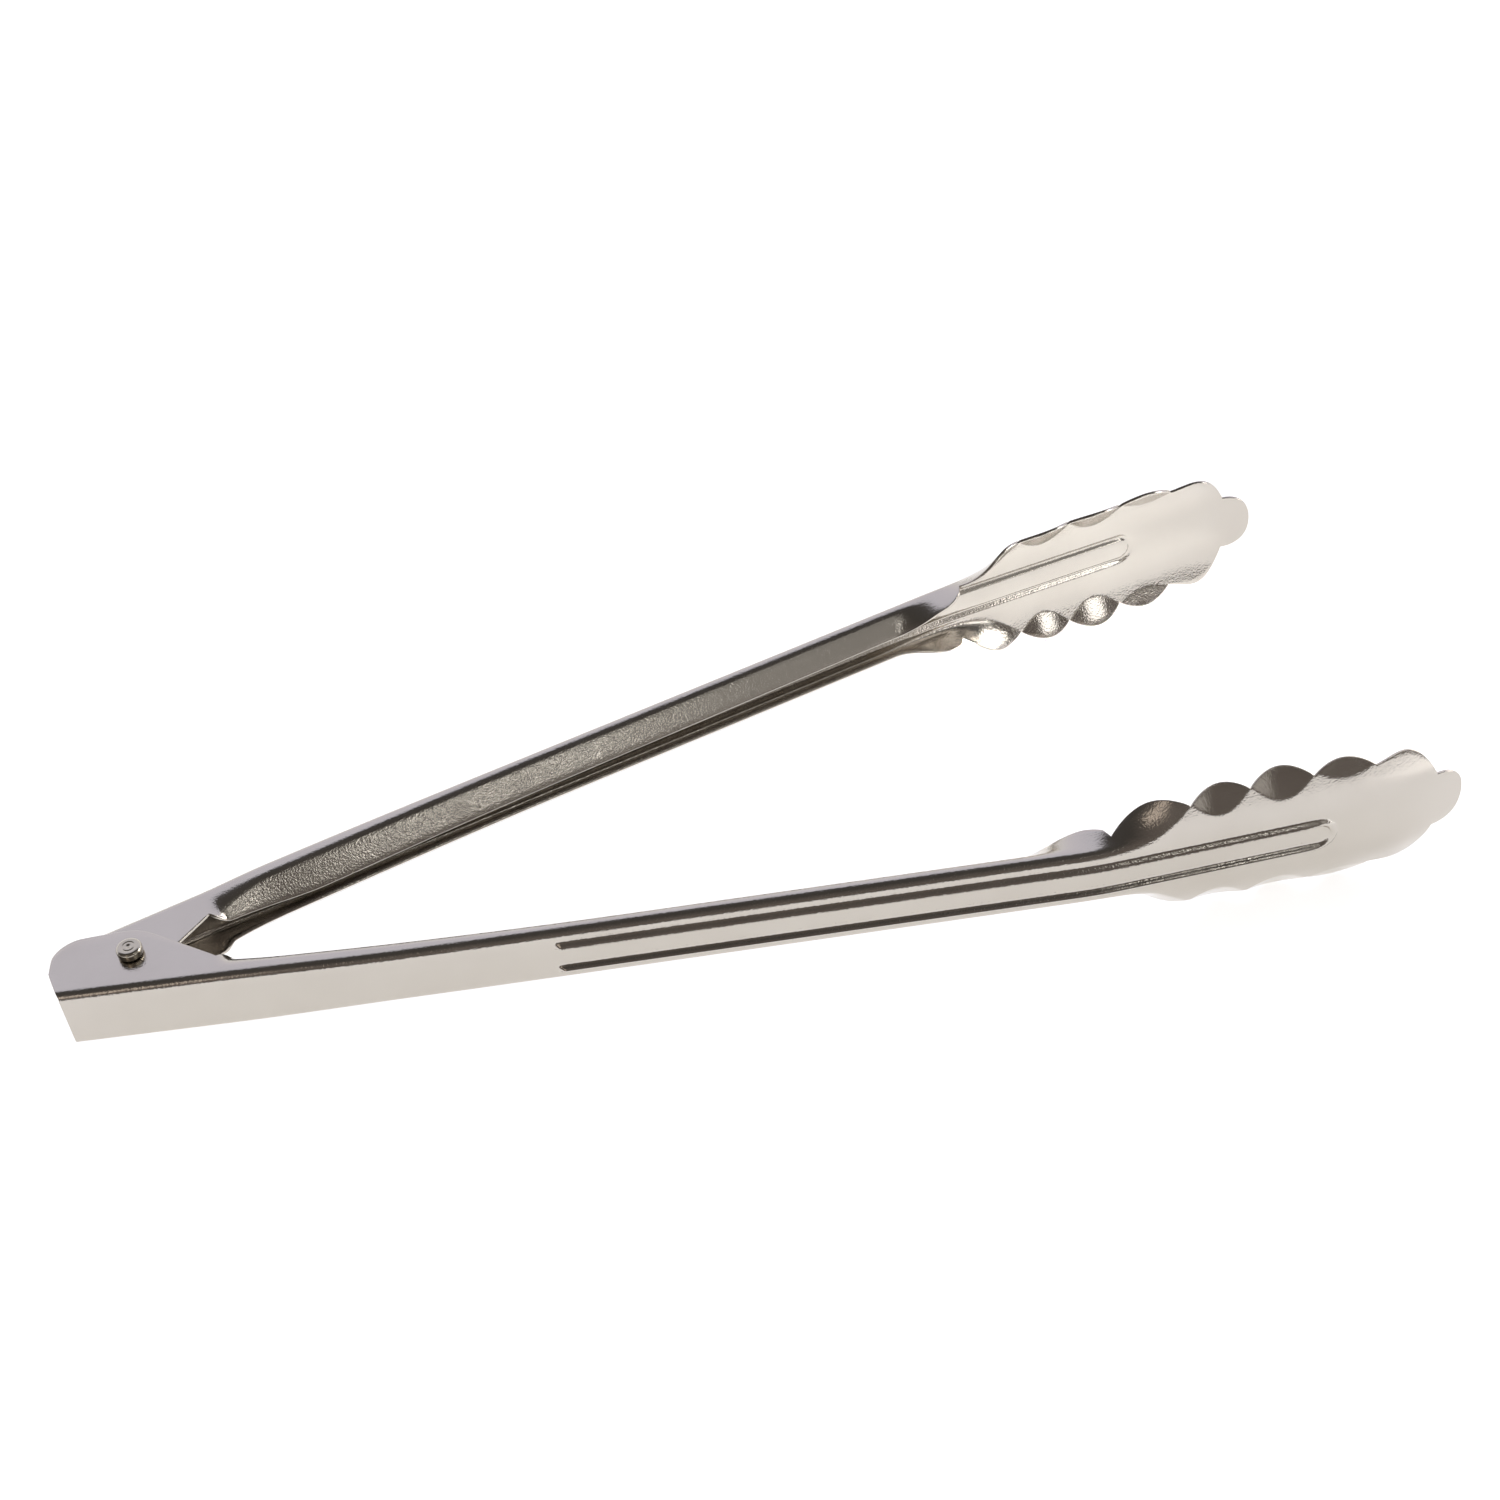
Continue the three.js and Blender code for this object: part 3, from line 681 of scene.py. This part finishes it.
def noise(nodes, links, coordinates, scale, detail):
    made = nodes.new("ShaderNodeTexNoise")
    made.inputs["Scale"].default_value = scale
    made.inputs["Detail"].default_value = detail
    made.inputs["Roughness"].default_value = NOISE_ROUGHNESS
    links.new(coordinates, made.inputs["Vector"])
    return made.outputs["Fac"]


def remap(nodes, links, value, low, high):
    """Stretches the middle of a noise, where most of its values lie, between two limits."""
    made = nodes.new("ShaderNodeMapRange")
    made.inputs["From Min"].default_value = NOISE_MIDDLE[0]
    made.inputs["From Max"].default_value = NOISE_MIDDLE[1]
    made.inputs["To Min"].default_value = low
    made.inputs["To Max"].default_value = high
    links.new(value, made.inputs["Value"])
    return made.outputs["Result"]


def steel(name, look):
    """Bare steel whose colour and gloss drift slowly from place to place, with a fine grain."""
    material, nodes, links, shader = node_material(name)
    shader.inputs["Metallic"].default_value = 1.0
    coordinates = nodes.new("ShaderNodeTexCoord").outputs["Object"]
    patches = noise(nodes, links, coordinates, PATCH_SCALE, 3)
    colour = nodes.new("ShaderNodeMix")
    colour.data_type = "RGBA"
    colour.inputs["A"].default_value = (*look.dark, 1)
    colour.inputs["B"].default_value = (*look.light, 1)
    links.new(patches, colour.inputs["Factor"])
    links.new(colour.outputs["Result"], shader.inputs["Base Color"])
    smudges = noise(nodes, links, coordinates, SMUDGE_SCALE, 5)
    smoothest, roughest = (look.roughness * share for share in ROUGHNESS_SHARES)
    links.new(remap(nodes, links, smudges, smoothest, roughest), shader.inputs["Roughness"])
    grain = noise(nodes, links, coordinates, GRAIN_SCALE, 1)
    fine = nodes.new("ShaderNodeBump")
    fine.inputs["Strength"].default_value = 1.0
    fine.inputs["Distance"].default_value = look.grain_depth * MILLIMETRE
    links.new(grain, fine.inputs["Height"])
    links.new(fine.outputs["Normal"], shader.inputs["Normal"])
    return material


def paint(piece, material):
    piece.data.materials.clear()
    piece.data.materials.append(material)


# ---------------------------------------------------------------- studio, in metres
WHITE = (1.0, 1.0, 1.0)
FLOOR = SimpleNamespace(reach=3.0, colour=0.9, roughness=0.8, glow=0.72)


def build_floor(height):
    corners = [(x * FLOOR.reach, y * FLOOR.reach, height) for x, y in ((-1, -1), (1, -1), (1, 1), (-1, 1))]
    mesh = bpy.data.meshes.new("floor")
    mesh.from_pydata(corners, [], [(0, 1, 2, 3)])
    floor = bpy.data.objects.new("floor", mesh)
    bpy.context.scene.collection.objects.link(floor)
    material, _, _, shader = node_material("pale_floor")
    shader.inputs["Base Color"].default_value = (FLOOR.colour, FLOOR.colour, FLOOR.colour, 1)
    shader.inputs["Roughness"].default_value = FLOOR.roughness
    shader.inputs["Emission Color"].default_value = (*WHITE, 1)
    shader.inputs["Emission Strength"].default_value = FLOOR.glow
    paint(floor, material)


SKY_STOPS = [  # angle over the scene from the horizon behind the camera, in degrees, and its light
    (-35, (0.85, 0.84, 0.82)),
    (-18, (0.18, 0.16, 0.145)),
    (30, (0.15, 0.13, 0.12)),
    (70, (0.07, 0.065, 0.06)),
    (112, (0.08, 0.075, 0.075)),
    (122, (0.78, 0.79, 0.92)),
    (150, (0.87, 0.86, 0.98)),
    (185, (1.0, 1.0, 1.0)),
]


def sky_height(nodes, links):
    """Where a direction lies on the sky: 0 and 1 are straight ahead of the camera, a half is behind it."""
    direction = nodes.new("ShaderNodeTexCoord").outputs["Generated"]
    azimuth = math.radians(CAMERA_AZIMUTH)
    behind = nodes.new("ShaderNodeVectorMath")
    behind.operation = "DOT_PRODUCT"
    behind.inputs[1].default_value = (-math.sin(azimuth), -math.cos(azimuth), 0)
    links.new(direction, behind.inputs[0])
    parts = nodes.new("ShaderNodeSeparateXYZ")
    links.new(direction, parts.inputs[0])
    angle = nodes.new("ShaderNodeMath")
    angle.operation = "ARCTAN2"
    links.new(parts.outputs["Z"], angle.inputs[0])
    links.new(behind.outputs["Value"], angle.inputs[1])
    share = nodes.new("ShaderNodeMapRange")
    share.inputs["From Min"].default_value = -math.pi
    share.inputs["From Max"].default_value = math.pi
    links.new(angle.outputs[0], share.inputs["Value"])
    return share.outputs["Result"]


def sky_colour(nodes, links):
    sky = nodes.new("ShaderNodeValToRGB")
    elements = sky.color_ramp.elements
    while len(elements) > 1:
        elements.remove(elements[-1])
    elements[0].position = 0
    elements[0].color = (*SKY_STOPS[0][1], 1)
    for degrees, light in SKY_STOPS:
        elements.new((degrees + 180) / 360).color = (*light, 1)
    links.new(sky_height(nodes, links), sky.inputs["Fac"])
    return sky.outputs["Color"]


def build_world():
    """Dark studio in front and overhead, a bright wall behind, and white where the camera sees past it."""
    world = bpy.data.worlds.new("studio")
    world.use_nodes = True
    bpy.context.scene.world = world
    nodes, links = world.node_tree.nodes, world.node_tree.links
    choose = nodes.new("ShaderNodeMix")
    choose.data_type = "RGBA"
    links.new(nodes.new("ShaderNodeLightPath").outputs["Is Camera Ray"], choose.inputs["Factor"])
    links.new(sky_colour(nodes, links), choose.inputs["A"])
    choose.inputs["B"].default_value = (*WHITE, 1)
    links.new(choose.outputs["Result"], nodes["Background"].inputs["Color"])


LAMPS = [  # soft rectangular lamps; hidden names the rays that do not see a lamp
    SimpleNamespace(
        name="right_softbox",
        position=(1.15, -0.09, 0.38),
        target=AIM,
        size=(0.4, 0.42),
        power=3.5,
        colour=(1.0, 0.98, 0.95),
        hidden=("diffuse",),
    ),
    SimpleNamespace(
        name="right_fill",
        position=(0.85, -0.85, 1.10),
        target=AIM,
        size=(0.9, 0.6),
        power=0.37,
        colour=(1.0, 1.0, 0.96),
    ),
    SimpleNamespace(
        name="low_fill",
        position=(0.98, -1.00, 0.49),
        target=AIM,
        size=(0.45, 0.6),
        power=0.3,
        colour=(1.0, 0.99, 0.97),
    ),
    SimpleNamespace(
        name="mouth_lamp",
        position=(0.405, -0.610, 0.701),
        target=(0.026, 0.009, 0.013),
        size=(0.07, 0.07),
        power=0.06,
        colour=(1.0, 1.0, 0.97),
    ),
    SimpleNamespace(
        name="lobe_card",
        position=(-0.484, -0.697, 0.572),
        target=(0.213, -0.047, 0.022),
        size=(0.2, 0.4),
        power=0.2,
        colour=(1.0, 0.87, 0.76),
    ),
    SimpleNamespace(
        name="head_card",
        position=(0.288, -0.036, 0.048),
        target=(0.255, 0.045, 0.0),
        size=(0.055, 0.03),
        power=0.012,
        colour=WHITE,
        hidden=("camera",),
    ),
    SimpleNamespace(
        name="overhead_fill",
        position=(0.14, 0.0, 1.2),
        target=AIM,
        size=(1.2, 1.2),
        power=3.4,
        colour=WHITE,
        hidden=("glossy",),
    ),
    SimpleNamespace(
        name="near_wash",
        position=(0.235, 0.044, 0.12),
        target=(0.235, 0.044, 0.0),
        size=(0.06, 0.014),
        power=0.24,
        colour=WHITE,
        hidden=("glossy", "camera"),
        spread=14,
    ),
    SimpleNamespace(
        name="far_wash",
        position=(0.37, -0.17, 0.25),
        target=(0.37, -0.17, 0.0),
        size=(0.06, 0.06),
        power=0.5,
        colour=WHITE,
        hidden=("glossy", "camera"),
        spread=16,
    ),
]


def build_lamp(name, position, target, size, power, colour, hidden=(), spread=180):
    data = bpy.data.lights.new(name, "AREA")
    data.shape = "RECTANGLE"
    data.size, data.size_y = size
    data.energy = power
    data.color = colour
    data.spread = math.radians(spread)
    lamp = bpy.data.objects.new(name, data)
    lamp.location = position
    lamp.rotation_euler = (Vector(target) - Vector(position)).to_track_quat("-Z", "Y").to_euler()
    lamp.visible_camera = "camera" not in hidden
    lamp.visible_diffuse = "diffuse" not in hidden
    lamp.visible_glossy = "glossy" not in hidden
    bpy.context.scene.collection.objects.link(lamp)


def build_camera():
    data = bpy.data.cameras.new("camera")
    data.lens = LENS
    data.sensor_width = 36
    data.clip_start = 0.01
    camera = bpy.data.objects.new("camera", data)
    azimuth = math.radians(CAMERA_AZIMUTH)
    elevation = math.radians(CAMERA_ELEVATION)
    level_part = math.cos(elevation)
    forward = Vector((math.sin(azimuth) * level_part, math.cos(azimuth) * level_part, -math.sin(elevation)))
    level = forward.to_track_quat("-Z", "Y")
    roll = Matrix.Rotation(math.radians(CAMERA_ROLL), 4, forward)
    turn = roll @ level.to_matrix().to_4x4()
    camera.matrix_world = Matrix.Translation(AIM - forward * CAMERA_DISTANCE) @ turn
    bpy.context.scene.collection.objects.link(camera)
    bpy.context.scene.camera = camera


# ---------------------------------------------------------------- assembly
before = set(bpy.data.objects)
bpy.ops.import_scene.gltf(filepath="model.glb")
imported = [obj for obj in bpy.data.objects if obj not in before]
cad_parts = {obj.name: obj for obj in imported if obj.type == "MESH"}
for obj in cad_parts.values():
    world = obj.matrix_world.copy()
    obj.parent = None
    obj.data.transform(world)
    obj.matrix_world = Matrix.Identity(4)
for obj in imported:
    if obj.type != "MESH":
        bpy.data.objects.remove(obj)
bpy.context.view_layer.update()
build_camera()

stamped_steel = steel("stamped_steel", STAMPED_STEEL)
rivet_steel = steel("rivet_steel", RIVET_STEEL)
spring_steel = steel("spring_steel", SPRING_STEEL)

outer_arm = build_arm("outer_arm_sheet", OUTER)
inner_arm = build_arm("inner_arm_sheet", INNER)
rivet = build_rivet("hinge_rivet_turned")
line, rise = spring_line()
spring = make_piece("torsion_spring_coil", *tube(line, SPRING.wire))

for piece, node, body, slot, material in (
    (outer_arm, "outer_arm", "outer_side", "stamped_steel", stamped_steel),
    (inner_arm, "inner_arm", "inner_side", "stamped_steel", stamped_steel),
    (rivet, "hinge_rivet", "outer_side", "rivet_steel", rivet_steel),
):
    paint(piece, material)
    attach(piece, body)
    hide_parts(node)

paint(spring, spring_steel)
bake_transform(spring)
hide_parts("torsion_spring")

visual_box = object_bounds()
build_floor(visual_box[0].z)
build_world()
for lamp in LAMPS:
    build_lamp(**vars(lamp))

bpy.context.scene.view_settings.view_transform = "Standard"
